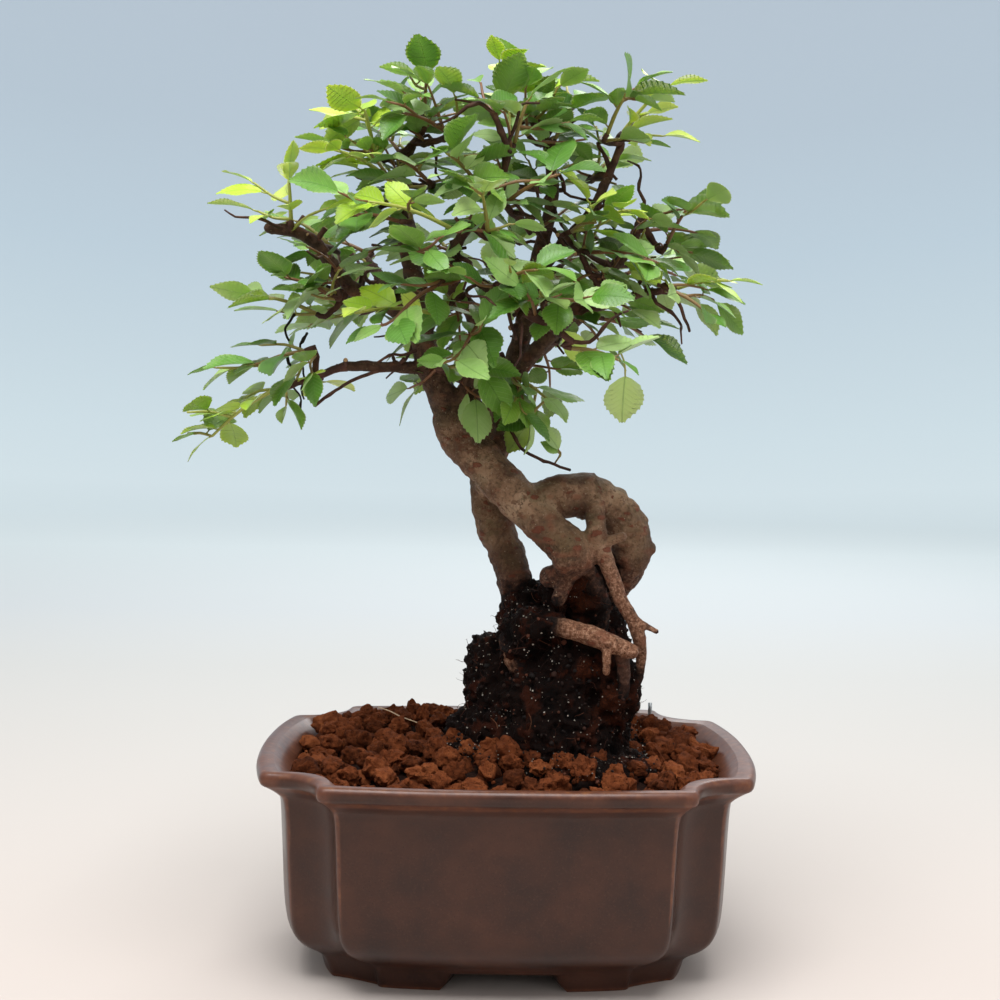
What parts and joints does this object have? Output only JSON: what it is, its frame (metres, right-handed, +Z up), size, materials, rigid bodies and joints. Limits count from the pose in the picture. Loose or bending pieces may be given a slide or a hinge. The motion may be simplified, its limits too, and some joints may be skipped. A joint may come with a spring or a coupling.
{
  "type": "chinese elm bonsai",
  "caption": "Small Chinese elm bonsai with looped, exposed roots on a dark root ball, standing in granules in a low brown glazed pot with feet.",
  "frame": {"origin": "on the surface that the pot's feet stand on, under the middle of the whole object's box", "axes": "+Z up along the tree; +X to the right and +Y to the back, seen from the pot's long front side"},
  "size_m": [0.1606, 0.1212, 0.2618],
  "materials": {
    "glaze": "satin",
    "netting": "matte",
    "wire": "satin",
    "clay": "matte",
    "peat": "matte",
    "bark": "matte",
    "young_leaf": "satin",
    "mature_leaf": "satin"
  },
  "bodies": {
    "root": {"pot": "glaze", "drain_net_left": "netting", "drain_net_right": "netting", "tie_wire": "wire", "granules": "clay", "root_ball": "peat", "tree_wood": "bark", "shoot_01": "young_leaf", "shoot_02": "young_leaf", "shoot_03": "young_leaf", "shoot_04": "young_leaf", "shoot_05": "young_leaf", "shoot_06": "mature_leaf", "shoot_07": "mature_leaf", "shoot_08": "mature_leaf", "shoot_09": "young_leaf", "shoot_10": "mature_leaf", "shoot_11": "mature_leaf", "shoot_12": "young_leaf", "shoot_13": "mature_leaf", "shoot_14": "mature_leaf", "shoot_15": "mature_leaf", "shoot_16": "mature_leaf", "shoot_17": "mature_leaf", "shoot_18": "mature_leaf", "shoot_19": "young_leaf", "shoot_20": "mature_leaf", "shoot_21": "mature_leaf", "shoot_22": "young_leaf", "shoot_23": "mature_leaf", "shoot_24": "mature_leaf", "shoot_25": "mature_leaf", "shoot_26": "mature_leaf", "shoot_27": "mature_leaf", "shoot_28": "mature_leaf", "shoot_29": "mature_leaf", "shoot_30": "young_leaf", "shoot_31": "mature_leaf", "shoot_32": "mature_leaf", "shoot_33": "mature_leaf", "shoot_34": "mature_leaf", "shoot_35": "mature_leaf", "shoot_36": "mature_leaf", "shoot_37": "mature_leaf", "shoot_38": "mature_leaf", "shoot_39": "mature_leaf", "shoot_40": "mature_leaf", "shoot_41": "mature_leaf", "shoot_42": "mature_leaf", "shoot_43": "mature_leaf", "shoot_44": "mature_leaf", "shoot_45": "mature_leaf", "shoot_46": "mature_leaf", "shoot_47": "mature_leaf", "shoot_48": "mature_leaf", "shoot_49": "mature_leaf", "shoot_50": "mature_leaf", "shoot_51": "mature_leaf", "shoot_52": "mature_leaf", "shoot_53": "mature_leaf"}
  },
  "joints": []
}
